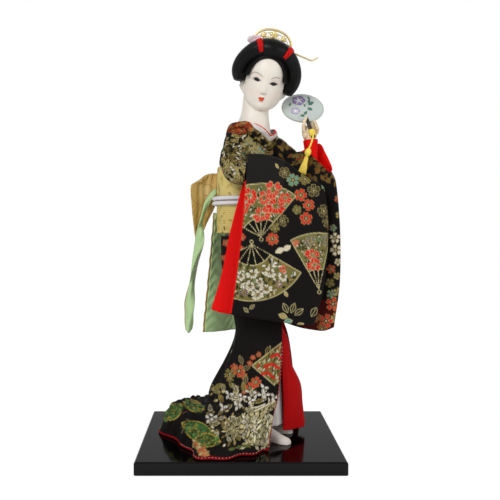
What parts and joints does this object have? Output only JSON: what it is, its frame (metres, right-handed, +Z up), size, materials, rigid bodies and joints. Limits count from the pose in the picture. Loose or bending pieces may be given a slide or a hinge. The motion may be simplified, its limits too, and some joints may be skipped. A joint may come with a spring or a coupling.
{
  "type": "geisha doll",
  "caption": "Standing geisha doll in a black and gold brocade kimono with a trailing skirt, obi bow and dressed wig, holding a round paper fan with a tassel, on a lacquered board.",
  "frame": {"origin": "middle of the board's underside", "axes": "+X to the viewer's right, where the fan is; +Y away from the viewer; +Z up"},
  "size_m": [0.136, 0.102, 0.2961],
  "materials": {
    "lacquer": "black lacquer, glossy",
    "steel": "plain",
    "plain_wood": "unfinished",
    "stuffing": "plain cloth over wadding",
    "bisque": "satin white, painted",
    "hand_resin": "cream",
    "hair": "dressed nylon fibre with a soft shine",
    "black_brocade": "black ground with gold, red, cream and green figures",
    "gold_brocade": "gold thread weave",
    "green_satin": "satin",
    "red_silk": "plain weave",
    "white_cotton": "plain weave",
    "white_cord": "braided",
    "pink_silk": "gathered",
    "yellow_silk": "twisted thread",
    "gilt": "stamped, bright",
    "fan_paper": "pale, painted with morning glories",
    "dark_bamboo": "dark stain"
  },
  "bodies": {
    "figure": {"base_board": "lacquer", "base_screw_right": "steel", "base_screw_left": "steel", "leg_rod_right": "plain_wood", "leg_rod_left": "plain_wood", "foot_right": "white_cotton", "foot_left": "white_cotton", "lower_body": "stuffing", "upper_body": "stuffing", "neck_peg": "plain_wood", "arm_wire_right": "steel", "arm_wire_left": "steel", "kimono_bodice": "black_brocade", "kimono_collar": "black_brocade", "under_collar": "white_cotton", "under_collar_edge": "red_silk", "obi_band": "gold_brocade", "obi_cord_upper": "white_cord", "obi_cord_lower": "white_cord", "obi_knot": "gold_brocade", "obi_wing_right": "gold_brocade", "obi_wing_left": "gold_brocade", "sash_end_narrow": "green_satin", "sash_end_wide_lining": "green_satin", "sash_end_wide": "gold_brocade", "sleeve_right": "black_brocade", "sleeve_right_lining": "red_silk", "sleeve_left": "black_brocade", "sleeve_left_lining": "red_silk", "under_sleeve_left": "red_silk", "kimono_skirt": "black_brocade", "hem_piping": "red_silk", "under_skirt_white": "white_cotton", "under_skirt_red": "red_silk", "hand_left": "hand_resin", "hand_right": "hand_resin"},
    "head": {"head": "bisque", "hair_cap": "hair", "hair_roll": "hair", "hair_top_knot": "hair", "hair_nape": "hair", "hair_ribbon_right": "red_silk", "hair_ribbon_left": "red_silk", "hair_flower": "pink_silk"},
    "comb": {"hair_comb": "gilt"},
    "hairpin": {"hair_pin": "gilt"},
    "fan": {"fan_leaf": "fan_paper", "fan_rim": "fan_paper", "fan_handle": "dark_bamboo", "fan_wrapping": "yellow_silk"},
    "tassel": {"tassel_cord": "yellow_silk", "tassel_bead": "yellow_silk", "tassel_fringe": "yellow_silk"}
  },
  "joints": [
    {"name": "head_turn", "type": "hinge", "parent": "figure", "child": "head", "pos_m": [0.0096, 0.001, 0.223], "axis": [0.1045, 0, 0.9945], "range_deg": [-30, 30]},
    {"name": "comb_pull", "type": "slide", "parent": "head", "child": "comb", "axis": [0.2138, -0.2235, 0.951], "range_m": [0, 0.014]},
    {"name": "hairpin_pull", "type": "slide", "parent": "head", "child": "hairpin", "axis": [0.926, 0.0631, -0.3722], "range_m": [0, 0.03]},
    {"name": "fan_turn", "type": "hinge", "parent": "figure", "child": "fan", "pos_m": [0.0484, -0.0095, 0.2282], "axis": [-0.165, 0.6072, 0.7772], "range_deg": [-4, 15]},
    {"name": "tassel_swing", "type": "hinge", "parent": "fan", "child": "tassel", "pos_m": [0.05005, -0.01846, 0.22269], "axis": [0, 1, 0], "range_deg": [-3, 20]}
  ]
}
